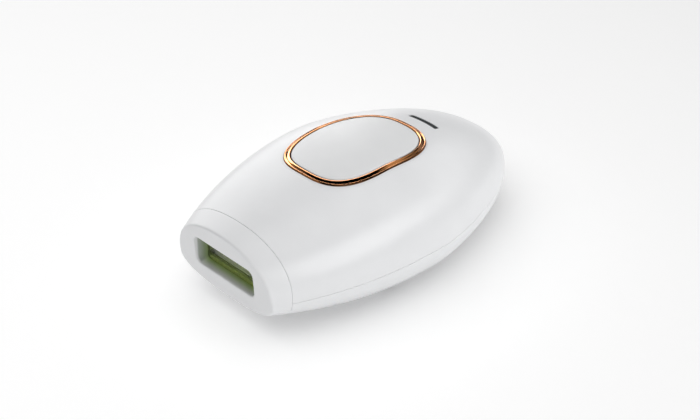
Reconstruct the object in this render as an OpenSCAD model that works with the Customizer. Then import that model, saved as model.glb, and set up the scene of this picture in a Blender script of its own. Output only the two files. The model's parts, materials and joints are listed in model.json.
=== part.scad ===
// Handheld IPL hair remover. The lamp nozzle faces -Y, +X is the device's right, +Z is up.
// The belly rests on z = 0 and the origin is the middle of the footprint.
// Stations along the body, called s, start at the front rim and grow towards the rear.

/* [Body] */
// Length from the front rim to the rear tip
body_l = 128; // [118:1:140]
// Widest width
body_w = 80; // [76:1:86]
// Height of the shell's top above the table
body_h = 42.5; // [41:0.5:46]
// Station of the widest section
widest_s = 65.4; // [60:0.2:70]
// Station of the highest section
highest_s = 58.6; // [54:0.2:64]
// Shell wall thickness
wall = 2; // [1.6:0.1:2.4]
// Height of the seam between the two shells at the front, the middle and the rear
seam_front = 15.4; // [14.5:0.1:16]
seam_middle = 16.7; // [16:0.1:17.5]
seam_rear = 15.9; // [15:0.1:16.5]
// Gap left between neighbouring shells
seam_gap = 0.15; // [0.15:0.05:0.4]

/* [Lamp head] */
// Width of the nozzle's front rim
nozzle_w = 48; // [46:0.5:52]
// Height of the top of the front rim
nozzle_top = 32.6; // [31.5:0.2:34]
// Height of the bottom of the front rim
nozzle_bottom = 7.3; // [6:0.1:8]
// Backward lean of the front face, in degrees
face_lean = 3.75; // [2:0.25:5]
// Station of the joint behind the nozzle
joint_s = 5.6; // [5.2:0.1:6.4]
// Light window: width, height and centre height
window_w = 29.9; // [28:0.1:30.6]
window_h = 10.7; // [10:0.1:11.2]
window_z = 19.6; // [19:0.1:20.2]
// Depth of the window recess
recess_depth = 3.6; // [3.2:0.1:4]
// How much narrower and lower the recess is at the filter than at the window
recess_taper_w = 3.6; // [2.4:0.2:4]
recess_taper_h = 0.8; // [0.6:0.2:3]
// Outer width and height of the plug-in sleeve
sleeve_w = 42; // [41:0.5:43]
sleeve_h = 18; // [17.5:0.5:18.5]
// Corner radius of the sleeve
sleeve_r = 6.5; // [6:0.1:7]
// Station of the sleeve's rear end
sleeve_end_s = 34; // [33:0.5:35]

/* [Button] */
// Station of the middle of the button
button_s = 60.8; // [59.8:0.2:61.6]
// Outer width and length of the trim ring
ring_w = 37.7; // [36:0.1:39]
ring_l = 52; // [50:0.2:53]
// Width of the trim ring's band
ring_band = 2.3; // [2.1:0.1:2.5]
// How far the button stands above the shell
button_rise = 0.7; // [0.6:0.1:0.9]
// Button travel
button_travel = 0.5; // [0.3:0.1:0.5]
// Station of the middle of the indicator slit
slit_s = 95.2; // [94.4:0.1:96]
// Width of the slit
slit_w = 13.5; // [12:0.5:14]
// Length of the slit along the body
slit_l = 2.3; // [2:0.1:2.8]
// Radius of the slit's bend
slit_bend = 46; // [40:1:80]

/* [Power inlet] */
// Radius of the inlet's centre pin, for a 5.5 x 2.1 mm plug
inlet_pin_r = 1; // [1:0.05:1.25]
// Radius of the inlet's bore
inlet_bore_r = 3.15; // [3:0.05:3.3]

/* [Hidden] */
$fn = 32;

half_w = body_w / 2;
// The front face leans about this height
lean_z = 12.8;
// How far the top of the front rim overhangs station 0
overhang = tan(face_lean) * (nozzle_top - lean_z);
// The recess round the power inlet shortens the rear tip by this much
inlet_trim = 0.45;
// y of station 0
y0 = -(body_l - inlet_trim - overhang) / 2;
// Lean of the joint plane behind the nozzle
joint_lean = 2.6;
// Bending of the outlines
plan_front_power = 2.29;
plan_rear_power = 1.37;
plan_rear_root = 2.31;
top_front_power = 1.6;
top_rear_power = 1.42;
top_rear_root = 2.1;
belly_s = 55.7;
belly_front_power = 1.72;
belly_rear_power = 2.2;
// The belly's curve dips this far under the table plane, which leaves a flat patch
belly_dip = 0.5;
upper_power = 2.3;
lower_power = 2.54;
// Sections and points round each section of the shells
form_sections = 26;
form_points = 40;
// The form starts ahead of the front face, so that the face can be cut from it
form_start_s = -4;

// Boards and inner levels
board_z = 5.5;
board_t = 1.6;
board_top = board_z + board_t;
board_start_s = 57;
control_z = 27.6;
control_t = 1.2;
control_top = control_z + control_t;
frame_plate_z = 33;
frame_plate_t = 1.4;
frame_plate_top = frame_plate_z + frame_plate_t;
spring_top = 38.95;
post_x = 9;
post_ds = 12.5;
fan_x = 3.5;
fan_s = 44.5;
fan_size = 25;
fan_depth = 10;
fan_bore_r = 11.6;
fan_shaft_r = 0.8;
inlet_s = 126.2;
inlet_z = seam_rear;
socket_x = -16.6;
contact_r = 0.8;
contact_gap = 0.05;
contact_levels = [-4.6, 0, 4.6];
lamp_s = 10;
lamp_r = 2.5;
capacitor_r = 9;
capacitor_x = -14;
ribbon_x = 9.5;

/* ---- outline of the body at station s, for a form that lies g inside the outer one ---- */
function part(s, from, to) = min(1, max(0, (s - from) / (to - from)));
function half_width(s, g = 0) = s < widest_s
  ? half_w - g - (half_w - nozzle_w / 2) * pow((widest_s - s) / widest_s, plan_front_power)
  : (half_w - g) * pow(1 - pow(part(s, widest_s, body_l - g), plan_rear_power), 1 / plan_rear_root);
function seam_height(s) = let (u = s / body_l)
  (1 - u) * (1 - 2 * u) * seam_front + 4 * u * (1 - u) * seam_middle + u * (2 * u - 1) * seam_rear;
function top_height(s, g = 0) = s < highest_s
  ? body_h - g - (body_h - nozzle_top) * pow((highest_s - s) / highest_s, top_front_power)
  : seam_rear + (body_h - g - seam_rear)
    * pow(1 - pow(part(s, highest_s, body_l - g), top_rear_power), 1 / top_rear_root);
function belly_height(s, g = 0) = s < belly_s
  ? g - belly_dip + (nozzle_bottom + belly_dip) * pow((belly_s - s) / belly_s, belly_front_power)
  : seam_rear - (seam_rear + belly_dip - g)
    * pow(1 - pow(part(s, belly_s, body_l - g), belly_rear_power), 1 / belly_rear_power);
function bent(v, power) = sign(v) * pow(abs(v), 2 / power);
function section_point(s, a, g) = let (c = cos(a), q = sin(a), z = seam_height(s)) q >= 0
  ? [half_width(s, g) * bent(c, upper_power), y0 + s, z + (top_height(s, g) - z) * bent(q, upper_power)]
  : [half_width(s, g) * bent(c, lower_power), y0 + s,
     max(g, z - (z - belly_height(s, g)) * bent(-q, lower_power))];
// Height of the outer top surface over a point
function surface_height(x, s) = let (z = seam_height(s), r = min(1, abs(x) / half_width(s)))
  z + (top_height(s) - z) * pow(1 - pow(r, upper_power), 1 / upper_power);

// Stations crowd together towards the rounded rear
function station(u, end) = u < 0.6
  ? form_start_s + (0.78 * end - form_start_s) * u / 0.6
  : end - 0.02 - 0.22 * end * pow((1 - u) / 0.4, 2);

/* ---- building blocks ---- */
// Skins a row of rings that all have the same number of points
function skin_faces(n, m) = concat(
  [for (i = [0:n - 2], j = [0:m - 1]) let (k = (j + 1) % m) [i * m + j, i * m + k, (i + 1) * m + k]],
  [for (i = [0:n - 2], j = [0:m - 1]) let (k = (j + 1) % m) [i * m + j, (i + 1) * m + k, (i + 1) * m + j]],
  [[for (j = [0:m - 1]) m - 1 - j]],
  [[for (j = [0:m - 1]) (n - 1) * m + j]]
);
module skin(rings)
  polyhedron([for (r = rings, p = r) p], skin_faces(len(rings), len(rings[0])), convexity = 8);
// A closed loop of profiles, such as a ring of any outline
function loop_faces(n, m) = [for (i = [0:n - 1], j = [0:m - 1], h = [0, 1])
  let (a = i * m + j, b = i * m + (j + 1) % m, c = (i + 1) % n * m + (j + 1) % m, d = (i + 1) % n * m + j)
  h == 0 ? [a, b, c] : [a, c, d]];
module skin_loop(rings)
  polyhedron([for (r = rings, p = r) p], loop_faces(len(rings), len(rings[0])), convexity = 8);

// The whole body's form, g inside its outer surface
module form(g = 0)
  skin([for (i = [0:form_sections])
    let (s = station(i / form_sections, body_l - g))
    [for (j = [0:form_points - 1]) section_point(s, 360 * j / form_points, g)]]);

// Keeps a blended shell as one mesh
module one_mesh() resize([0, 0, 0]) children();

// Everything behind a leaning plane through station s
module behind(s, lean)
  translate([-body_w, y0 + s, lean_z]) rotate([-lean, 0, 0])
    translate([0, 0, -body_l]) cube([2 * body_w, 2 * body_l, 2 * body_l]);

// Everything above the seam between the shells, lifted by rise
module above_seam(rise)
  rotate([90, 0, 90]) linear_extrude(height = 2 * body_w, center = true)
    polygon(concat(
      [for (i = [-1:16]) [y0 + i * body_l / 15, seam_height(i * body_l / 15) + rise]],
      [[y0 + 1.2 * body_l, 2 * body_h], [y0 - 20, 2 * body_h]]
    ));

// Points of a rounded rectangle
function rounded_points(w, h, r, n = 6) = [for (c = [0:3], i = [0:n])
  let (a = 90 * c + 90 * i / n, x = (c == 0 || c == 3 ? 1 : -1), y = (c < 2 ? 1 : -1))
  [x * (w / 2 - r) + r * cos(a), y * (h / 2 - r) + r * sin(a)]];

// A rounded bar along Y from station s, centred at x and z
module bar(w, h, r, s, length, x = 0, z = 0)
  translate([x, y0 + s, z]) rotate([-90, 0, 0])
    linear_extrude(height = length) polygon(rounded_points(w, h, r));

// A cylinder along Y from station s
module rod(r, s, length, x = 0, z = 0)
  translate([x, y0 + s, z]) rotate([-90, 0, 0]) cylinder(r = r, h = length);

// A box centred in x, from station s and from height z
module block(size, x, s, z) translate([x - size[0] / 2, y0 + s, z]) cube(size);

// Outline of the button and its ring, inset from the ring's outer edge
ring_front_power = 2.9;
ring_rear_power = 2.65;
ring_steps = 56;
function ring_point(a, inset) = let (power = sin(a) < 0 ? ring_front_power : ring_rear_power) [
  (ring_w / 2 - inset) * bent(cos(a), power),
  button_s + (ring_l / 2 - inset) * bent(sin(a), power)
];
function ring_outline(inset) = [for (i = [0:ring_steps - 1]) ring_point(360 * i / ring_steps, inset)];
// A loop over the top surface at an inset, raised by rise
function ring_loop(inset, rise, scale = 1) = [for (p = ring_outline(inset))
  let (x = p[0] * scale, s = button_s + (p[1] - button_s) * scale)
  [x, y0 + s, surface_height(x, s) + rise]];
module ring_prism(inset, z, height)
  translate([0, y0, z]) linear_extrude(height = height) polygon(ring_outline(inset));

// A round tube along points
function unit(v) = v / norm(v);
function tangent(p, i) = unit(p[min(i + 1, len(p) - 1)] - p[max(i - 1, 0)]);
function tube_ring(p, i, r, m, side) = let (t = tangent(p, i), a = unit(cross(t, side)), b = cross(t, a))
  [for (j = [0:m - 1]) p[i] + r * (cos(360 * j / m) * a - sin(360 * j / m) * b)];
module tube(p, r, m = 6, side = [0, 0, 1])
  skin([for (i = [0:len(p) - 1]) tube_ring(p, i, r, m, side)]);
// Smooth points through a few hand-set ones
function smooth(p, n) = concat([for (i = [0:len(p) - 2], k = [0:n - 1])
  let (u = k / n, a = p[max(i - 1, 0)], b = p[i], c = p[i + 1], d = p[min(i + 2, len(p) - 1)])
  0.5 * (2 * b + (c - a) * u + (2 * a - 5 * b + 4 * c - d) * u * u + (3 * b - a - 3 * c + d) * u * u * u)],
  [p[len(p) - 1]]);
// A wire's points are given as x, station and height
function placed(p) = [for (q = p) [q[0], y0 + q[1], q[2]]];

// Screw with a pan head under its shank, standing on z = 0
module screw(shank_r, shank_l, head_r, head_h) {
  difference() {
    cylinder(r = head_r, h = head_h);
    for (a = [0, 90])
      rotate(a) translate([-head_r, -head_r / 8, -1]) cube([2 * head_r, head_r / 4, 1 + head_h / 2]);
  }
  translate([0, 0, head_h]) cylinder(r = shank_r, h = shank_l);
}
module at(x, s, z) translate([x, y0 + s, z]) children();

/* ---- where the fasteners sit: x, station and, for the shell screws, height of the seat ---- */
shell_screw_places = [[-27, 50, 5.5], [27, 50, 5.5], [-17, 106, 8.2], [17, 106, 8.2]];
board_screw_places = [[-21.5, 59.5], [21.5, 59.5], [-15, 96.7], [16.8, 93]];
frame_screw_places = [[-25.5, 32], [25.5, 32]];
button_screw_places = [for (x = [-18.5, 18.5], ds = [-20, 20]) [x, button_s + ds]];
control_screw_places = [for (x = [-10.5, 10.5], s = [62, 82]) [x, s]];
shell_screw_r = 1.1;
shell_screw_head_r = 2;
boss_r = 2.8;

// The slit's outline, grown by grow on every side and extruded from z = low
module slit(low, height, grow = 0)
  translate([0, y0 + slit_s - slit_bend, low]) linear_extrude(height = height)
    intersection() {
      difference() {
        circle(slit_bend + slit_l / 2 + grow, $fn = 180);
        circle(slit_bend - slit_l / 2 - grow, $fn = 180);
      }
      translate([-slit_w / 2 - grow, 0]) square([slit_w + 2 * grow, 2 * slit_bend]);
    }

module upper_shell() color([0.93, 0.93, 0.94]) one_mesh() {
  difference() {
    intersection() {
      form();
      above_seam(seam_gap / 2);
      behind(joint_s + seam_gap, joint_lean);
    }
    form(wall);
    // rebate for the lower shell's lip
    difference() {
      form(wall / 2);
      above_seam(1.8);
    }
    ring_prism(ring_band / 2, 20, 40);
    slit(20, 30, 0.1);
    rod(4.5, inlet_s - 6, 20, 0, inlet_z);
    rod(5.2, inlet_s, 20, 0, inlet_z);
  }
  intersection() {
    form(wall / 2);
    union() {
      for (p = shell_screw_places)
        at(p[0], p[1], seam_height(p[1]) + 2) difference() {
          cylinder(r = boss_r, h = 40);
          translate([0, 0, -1]) cylinder(r = 1, h = 9, $fn = 16);
        }
      for (p = button_screw_places)
        at(p[0], p[1], frame_plate_top + 0.1) difference() {
          cylinder(r = 2.3, h = 20);
          translate([0, 0, -1]) cylinder(r = 0.9, h = 3.4, $fn = 16);
        }
      // guide of the light pipe
      difference() {
        block([17, 5, 12], 0, slit_s - 2.5, 31.5);
        slit(20, 30, 0.1);
      }
    }
  }
}

module lower_shell() color([0.92, 0.92, 0.93]) one_mesh() {
  difference() {
    union() {
      difference() {
        intersection() {
          form();
          behind(joint_s + seam_gap, joint_lean);
        }
        above_seam(-seam_gap / 2);
        form(wall);
      }
      // lip that locates the upper shell
      difference() {
        intersection() {
          form(wall / 2 + 0.1);
          behind(joint_s + 2, joint_lean);
        }
        above_seam(1.6);
        form(wall);
        translate([-body_w, -body_l, 0]) cube([2 * body_w, 2 * body_l, seam_front - 1]);
      }
      intersection() {
        form(wall / 2);
        union() {
          for (p = shell_screw_places)
            at(p[0], p[1], 0) cylinder(r = boss_r + 0.6, h = seam_height(p[1]) + 1.8);
          for (p = board_screw_places)
            at(p[0], p[1], 0) cylinder(r = 2, h = board_z - 0.1);
          for (p = frame_screw_places)
            at(p[0], p[1], 0) cylinder(r = 2.4, h = seam_front - 3.6);
          // saddle under the inlet
          difference() {
            block([14, 2, inlet_z], 0, inlet_s - 11, 0);
            block([9.4, 4, 20], 0, inlet_s - 12, inlet_z - 4.7);
          }
        }
      }
    }
    for (p = shell_screw_places)
      at(p[0], p[1], -1) {
        cylinder(r = shell_screw_head_r + 0.4, h = p[2] + 1);
        cylinder(r = shell_screw_r + 0.15, h = 40, $fn = 16);
      }
    for (p = board_screw_places)
      at(p[0], p[1], 1.5) cylinder(r = 0.9, h = 10, $fn = 12);
    for (p = frame_screw_places)
      at(p[0], p[1], 6) cylinder(r = 0.9, h = 20, $fn = 12);
    // air inlet slots behind the flat of the belly
    for (i = [-3:3])
      hull() for (ds = [82, 98 - abs(i)])
        at(4.2 * i, ds, -1) cylinder(r = 0.9, h = 10, $fn = 8);
    // air outlet slots under the lamp
    for (i = [-3:3])
      hull() for (ds = [18, 27])
        at(5 * i, ds, -1) cylinder(r = 0.8, h = 10, $fn = 8);
    rod(4.5, inlet_s - 6, 20, 0, inlet_z);
    rod(5.2, inlet_s, 20, 0, inlet_z);
  }
}

// Profile of the ring from its inner edge: inset from the outer edge and rise over the shell
ring_profile = [
  [ring_band, -2], [ring_band, 0.3], [ring_band - 0.2, 0.5],
  [ring_band - 0.6, 0.58], [ring_band - 1.1, 0.4], [ring_band - 1.3, 0.22],
  [0.7, 0.3], [0.2, 0.2], [0, 0.05],
  [ring_band / 2 - 0.1, 0.05], [ring_band / 2 + 0.15, 0], [ring_band / 2 + 0.15, -2]
];
module trim_ring() color([0.78, 0.48, 0.32])
  skin_loop([for (i = [0:ring_steps - 1])
    [for (q = ring_profile)
      let (p = ring_point(-360 * i / ring_steps, q[0]))
      [p[0], y0 + p[1], surface_height(p[0], p[1]) + q[1]]]]);

module button_cap() color([0.85, 0.85, 0.85]) one_mesh() {
  edge = ring_band + 0.25;
  difference() {
    skin([
      ring_loop(edge + 0.35, button_rise + 0.2, 0.05), ring_loop(edge + 0.35, button_rise + 0.2, 0.4),
      ring_loop(edge + 0.35, button_rise + 0.15, 0.75), ring_loop(edge + 0.35, button_rise),
      ring_loop(edge, button_rise - 0.5), ring_loop(edge, -2), ring_loop(edge, -2, 0.05)
    ]);
    skin([
      ring_loop(edge + 1.3, -0.3, 0.05), ring_loop(edge + 1.3, -0.3, 0.5),
      ring_loop(edge + 1.3, -0.6), ring_loop(edge + 1.3, -5), ring_loop(edge + 1.3, -5, 0.05)
    ]);
  }
  intersection() {
    skin([
      ring_loop(edge + 0.8, 0.2, 0.05), ring_loop(edge + 0.8, 0.2, 0.5),
      ring_loop(edge + 0.8, 0.2), ring_loop(edge + 0.8, -12), ring_loop(edge + 0.8, -12, 0.05)
    ]);
    union() {
      for (x = [-post_x, post_x], ds = [-post_ds, post_ds]) {
        at(x, button_s + ds, frame_plate_z - 0.4) cylinder(r = 1.2, h = 20, $fn = 20);
        at(x, button_s + ds, spring_top + 0.05) cylinder(r = 2.6, h = 20, $fn = 20);
      }
      // post that works the switch
      at(0, button_s, frame_plate_z + 0.25) cylinder(r = 2, h = 20, $fn = 20);
      for (a = [0, 90])
        at(0, button_s, frame_plate_top + 3.2) rotate(a) translate([-7, -0.5, 0]) cube([14, 1, 20]);
    }
  }
}

module button_frame() color([0.2, 0.2, 0.22]) {
  difference() {
    union() {
      translate([0, y0 + button_s, frame_plate_z]) linear_extrude(height = frame_plate_t)
        polygon(rounded_points(ring_w + 5, ring_l - 2, 6));
      for (p = control_screw_places)
        at(p[0], p[1], control_top + 0.05) cylinder(r = 2.2, h = frame_plate_z - control_top);
    }
    at(0, button_s, frame_plate_z - 1) cylinder(r = 3.6, h = 4);
    for (x = [-post_x, post_x], ds = [-post_ds, post_ds])
      at(x, button_s + ds, frame_plate_z - 1) cylinder(r = 1.28, h = 4);
    for (p = button_screw_places)
      at(p[0], p[1], frame_plate_z - 1) cylinder(r = 1.1, h = 4);
    for (p = control_screw_places)
      at(p[0], p[1], control_top - 1) cylinder(r = 0.9, h = 5);
    for (x = [-6, 6])
      block([3, 22, 4], x, button_s - 25 + 14, frame_plate_z - 1);
  }
}

spring_turns = 4;
spring_steps = 8;
module button_springs() color([0.7, 0.7, 0.72])
  for (x = [-post_x, post_x], ds = [-post_ds, post_ds])
    at(x, button_s + ds, frame_plate_top + 0.3)
      tube([for (i = [0:spring_turns * spring_steps])
        let (a = 360 * i / spring_steps, u = i / (spring_turns * spring_steps))
        [1.95 * cos(a), 1.95 * sin(a), u * (spring_top - frame_plate_top - 0.6)]], 0.25, 5);

module indicator_window() color([0.2, 0.2, 0.22]) one_mesh()
  intersection() {
    form(0.1);
    slit(34.2, 12);
  }

module light_pipe() color([0.85, 0.88, 0.9])
  slit(control_top + 1, 34.1 - control_top - 1, -0.15);

module indicator_leds() color([0.95, 0.95, 0.85])
  for (i = [-2:2])
    block([2, 1.25, 0.8], 2.5 * i, slit_s - 0.8, control_top);

module control_board() color([0.05, 0.3, 0.15])
  difference() {
    at(0, 78, control_z) linear_extrude(height = control_t) polygon(rounded_points(28, 44, 2));
    for (p = control_screw_places)
      at(p[0], p[1], control_z - 1) cylinder(r = 1.1, h = 4);
  }

module switch_body() color([0.15, 0.15, 0.16])
  difference() {
    union() {
      block([6, 6, 3.2], 0, button_s - 3, control_top);
      for (x = [-3.6, 3.6], ds = [-2.25, 2.25])
        block([1.4, 0.7, 0.4], x, button_s + ds - 0.35, control_top);
    }
    at(0, button_s, control_top + 1) cylinder(r = 1.75, h = 4);
  }

module switch_plunger() color([0.9, 0.85, 0.7])
  at(0, button_s, control_top + 1.6) cylinder(r = 1.7, h = frame_plate_z + 0.2 - control_top - 1.6);

module nozzle_housing() color([0.94, 0.94, 0.95]) one_mesh()
  difference() {
    union() {
      difference() {
        intersection() {
          form();
          behind(0, -face_lean);
        }
        behind(joint_s, joint_lean);
      }
      bar(sleeve_w, sleeve_h, sleeve_r, joint_s - 1, sleeve_end_s - joint_s + 1, 0, window_z);
    }
    // funnel of the window
    hull() {
      bar(window_w, window_h, 2.4, -3, 3, 0, window_z);
      bar(window_w - recess_taper_w, window_h - recess_taper_h, 1.6, recess_depth - 0.1, 0.2, 0, window_z);
    }
    // room for the filter, the seal and the lamp carrier
    bar(window_w + 2, window_h + 1.4, 1.6, recess_depth, 4, 0, window_z);
    bar(sleeve_w - 3, sleeve_h - 3, sleeve_r - 1.5, recess_depth + 2.6, 50, 0, window_z);
    // air slots in the sleeve
    for (i = [-3:3])
      block([1.6, 10, 40], 5 * i, 20, 0);
  }

module filter_glass() color([0.35, 0.5, 0.1, 0.6])
  bar(window_w + 1.8, window_h + 1.2, 1.5, recess_depth + 0.05, 1.5, 0, window_z);

module window_seal() color([0.15, 0.15, 0.15])
  difference() {
    bar(window_w + 1.8, window_h + 1.2, 1.5, recess_depth + 1.6, 0.9, 0, window_z);
    bar(window_w - 1.4, window_h - 2.4, 1.5, recess_depth + 1, 2, 0, window_z);
  }

module flash_lamp() color([0.85, 0.9, 0.7, 0.5])
  translate([0, y0 + lamp_s, window_z]) rotate([0, 90, 0])
    difference() {
      cylinder(r = lamp_r, h = 34, center = true);
      cylinder(r = lamp_r - 0.7, h = 30, center = true);
    }

module lamp_electrodes() color([0.75, 0.72, 0.6])
  for (side = [-1, 1])
    translate([0, y0 + lamp_s, window_z]) rotate([0, 90 * side, 0])
      difference() {
        translate([0, 0, 15.8]) cylinder(r = lamp_r + 0.45, h = 2.6);
        translate([0, 0, 14]) cylinder(r = lamp_r + 0.02, h = 3.05);
      }

trigger_turns = 6;
module trigger_wire() color([0.7, 0.7, 0.7])
  translate([0, y0 + lamp_s, window_z])
    tube([for (i = [0:8 * trigger_turns])
      let (a = 45 * i, r = lamp_r + 0.45)
      [-14 + 28 * i / (8 * trigger_turns), r * cos(a), r * sin(a)]], 0.18, 5, [1, 0, 0]);

// Half ellipse that the reflector follows, as station and height
function trough(depth, half) = [for (i = [0:12]) let (a = -90 + 15 * i)
  [y0 + 7 + depth * cos(a), window_z + half * sin(a)]];
function reversed(p) = [for (i = [len(p) - 1:-1:0]) p[i]];
module lamp_reflector() color([0.85, 0.86, 0.88])
  rotate([90, 0, 90]) linear_extrude(height = 31, center = true)
    polygon(concat(trough(7, 4.9), reversed(trough(6.6, 4.5))));

module lamp_holder() color([0.9, 0.88, 0.84])
  difference() {
    bar(38, 14.2, sleeve_r - 1.9, 6.3, 23.6, 0, window_z);
    // space of the reflector, open to the front
    block([31.4, 8.2, 10.2], 0, 6.2, window_z - 5.1);
    // seats of the lamp's ends
    at(0, lamp_s, window_z) rotate([0, 90, 0]) cylinder(r = lamp_r + 0.55, h = 37.2, center = true);
    for (x = [-17.05, 17.05])
      block([3.2, lamp_s - 6.2, 2 * lamp_r + 1.1], x, 6.2, window_z - lamp_r - 0.55);
    // air channel
    block([26, 20, 9], 2, 16, window_z - 4.5);
    for (dz = contact_levels)
      rod(contact_r + 0.02, 24, 10, socket_x, window_z + dz);
  }

module contact_pins() color([0.85, 0.7, 0.35])
  for (dz = contact_levels)
    rod(contact_r, 24.1, 15, socket_x, window_z + dz);

module contact_socket() color([0.12, 0.12, 0.13])
  difference() {
    block([6, 6.4, 14.4], socket_x, sleeve_end_s + 1.6, window_z - 7.2);
    for (dz = contact_levels)
      rod(contact_r + contact_gap, sleeve_end_s, 7, socket_x, window_z + dz);
  }

flange_s = joint_s + 2.6;
flange_t = 1.4;
guide_t = 1.4;
module head_frame() color([0.16, 0.16, 0.17])
  difference() {
    union() {
      // flange behind the seam
      at(0, flange_s, 0) rotate([90, 0, 0]) translate([0, 0, -flange_t]) linear_extrude(height = flange_t)
        polygon([for (j = [0:form_points - 1])
          let (p = section_point(joint_s + 1.2, 360 * j / form_points, wall + 0.3)) [p[0], p[2]]]);
      bar(sleeve_w + 2 * guide_t, sleeve_h + 2 * guide_t, sleeve_r + guide_t, flange_s + 0.4,
        sleeve_end_s - joint_s - 1.6, 0, window_z);
      for (p = frame_screw_places)
        block([9, 8, 2], p[0] - sign(p[0]) * 1.5, p[1] - 4, seam_front - 3.5);
    }
    bar(sleeve_w + 0.6, sleeve_h + 0.6, sleeve_r + 0.3, 0, sleeve_end_s + 0.4, 0, window_z);
    // window to the fan in the rear wall
    bar(fan_size, sleeve_h - 1, 3, 30, 20, fan_x, window_z);
    block([6.2, 20, 14.6], socket_x, 30, window_z - 7.3);
    // air slots under the lamp
    for (i = [-3:3])
      block([1.6, 10, 20], 5 * i, 20, 0);
    for (p = frame_screw_places)
      at(p[0], p[1], 10) cylinder(r = 1.1, h = 6);
  }

module main_board() color([0.05, 0.32, 0.16])
  difference() {
    translate([0, y0, board_z]) linear_extrude(height = board_t)
      polygon([[-24, board_start_s], [24, board_start_s], [24, 80], [17, 99], [-17, 99], [-24, 80]]);
    for (p = board_screw_places)
      at(p[0], p[1], board_z - 1) cylinder(r = 1.1, h = 4);
  }

module flash_capacitor() color([0.12, 0.12, 0.2])
  union() {
    rod(capacitor_r, 59, 34.6, capacitor_x, board_top + 0.1 + capacitor_r);
    rod(capacitor_r - 0.5, 58.4, 36, capacitor_x, board_top + 0.1 + capacitor_r);
  }

module transformer_core() color([0.22, 0.22, 0.24])
  at(9, 68, board_top) {
    translate([-8, -2.5, 0]) cube([16, 5, 3]);
    translate([-8, -2.5, 11]) cube([16, 5, 3]);
    for (x = [-8, 6])
      translate([x, -2.5, 2.9]) cube([2, 5, 8.2]);
    translate([0, 0, 2.9]) cylinder(r = 2.2, h = 8.2);
  }

module transformer_coil() color([0.8, 0.65, 0.2])
  at(9, 68, board_top + 3.05)
    difference() {
      union() {
        cylinder(r = 5, h = 7.9);
        cylinder(r = 5.7, h = 0.7);
        translate([0, 0, 7.2]) cylinder(r = 5.7, h = 0.7);
      }
      translate([0, 0, -1]) cylinder(r = 2.25, h = 12);
    }

module trigger_coil() color([0.5, 0.2, 0.1])
  at(4.5, 82, board_top) union() {
    cylinder(r = 4.2, h = 1.2);
    cylinder(r = 3.6, h = 12);
    translate([0, 0, 11]) cylinder(r = 4.2, h = 1.2);
  }

module trigger_capacitor() color([0.75, 0.2, 0.15])
  at(20.6, 70, board_top + 5) rotate([-90, 0, 0])
    translate([0, 0, -5]) linear_extrude(height = 10) polygon(rounded_points(5, 9.9, 1.2, 3));

module small_capacitors() color([0.1, 0.25, 0.4])
  for (p = [[2.9, 92], [11.2, 93.3], [12.5, 82.3]])
    at(p[0], p[1], board_top) union() {
      cylinder(r = 3.15, h = 8);
      cylinder(r = 3, h = 8.3);
    }

module board_chips() color([0.1, 0.1, 0.1]) {
  for (p = [[1, 60], [10, 76.2]])
    block([5, 4, 1.5], p[0], p[1] - 2, board_top);
  block([7, 7, 1.1], 0, 80, control_top);
  block([5, 4, 1.5], 7, 86, control_top);
}

module wire_headers() color([0.9, 0.88, 0.8]) {
  for (p = [[14, 58], [-3, 94.5]])
    difference() {
      block([7, 4, 5], p[0], p[1], board_top);
      block([5.4, 2.6, 5], p[0], p[1] + 0.7, board_top + 1.2);
    }
  block([8, 3, 3], ribbon_x, 95, control_z - 3);
  block([8, 3, 3], ribbon_x, 86.6, board_top);
}

module power_transistor() color([0.12, 0.12, 0.12])
  block([4.4, 10, 14], 18.2, 77.5, board_top);

module heat_sink() color([0.7, 0.71, 0.73])
  difference() {
    block([2, 12, 17], 21.45, 76.5, board_top);
    for (i = [0:3])
      block([1.2, 1.4, 20], 22.1, 77.9 + 2.6 * i, board_top - 1);
  }

module fan_housing() color([0.13, 0.13, 0.14])
  difference() {
    union() {
      difference() {
        bar(fan_size, fan_size, 2.5, fan_s, fan_depth, fan_x, window_z);
        rod(fan_bore_r, fan_s - 1, fan_depth + 2, fan_x, window_z);
      }
      rod(5.6, fan_s + fan_depth - 1.5, 1.5, fan_x, window_z);
      for (a = [30, 150, 270])
        translate([fan_x, y0 + fan_s + fan_depth - 1.5, window_z]) rotate([0, a, 0])
          translate([4, 0, -0.8]) cube([8.3, 1.5, 1.6]);
    }
    rod(fan_shaft_r + 0.05, fan_s, fan_depth + 1, fan_x, window_z);
    for (x = [-10, 10], z = [-10, 10])
      rod(1.1, fan_s - 1, fan_depth + 2, fan_x + x, window_z + z);
  }

fan_blades = 7;
module fan_rotor() color([0.2, 0.2, 0.21])
  union() {
    rod(5.4, fan_s + 0.6, 7, fan_x, window_z);
    rod(fan_shaft_r, fan_s + 7, 2.9, fan_x, window_z);
    for (i = [0:fan_blades - 1])
      translate([fan_x, y0 + fan_s + 4.1, window_z]) rotate([0, 360 * i / fan_blades, 0])
        rotate([38, 0, 0]) translate([4.6, -3.6, -0.4]) cube([6.3, 7.2, 0.8]);
  }

module dc_jack_body() color([0.1, 0.1, 0.1])
  difference() {
    union() {
      rod(4.3, inlet_s - 6, 6, 0, inlet_z);
      block([9, 8.6, 9], 0, inlet_s - 14, inlet_z - 4.5);
    }
    rod(inlet_bore_r, inlet_s - 9, 12, 0, inlet_z);
    rod(inlet_pin_r + 0.3, inlet_s - 16, 12, 0, inlet_z);
  }

module dc_jack_pin() color([0.8, 0.8, 0.82])
  union() {
    rod(inlet_pin_r, inlet_s - 15.6, 15, 0, inlet_z);
    rod(inlet_pin_r + 0.28, inlet_s - 12, 3, 0, inlet_z);
  }

module shell_screws() color([0.6, 0.6, 0.62])
  for (p = shell_screw_places)
    at(p[0], p[1], p[2] - 1.4) screw(shell_screw_r - 0.2, 17, shell_screw_head_r, 1.35);

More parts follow.
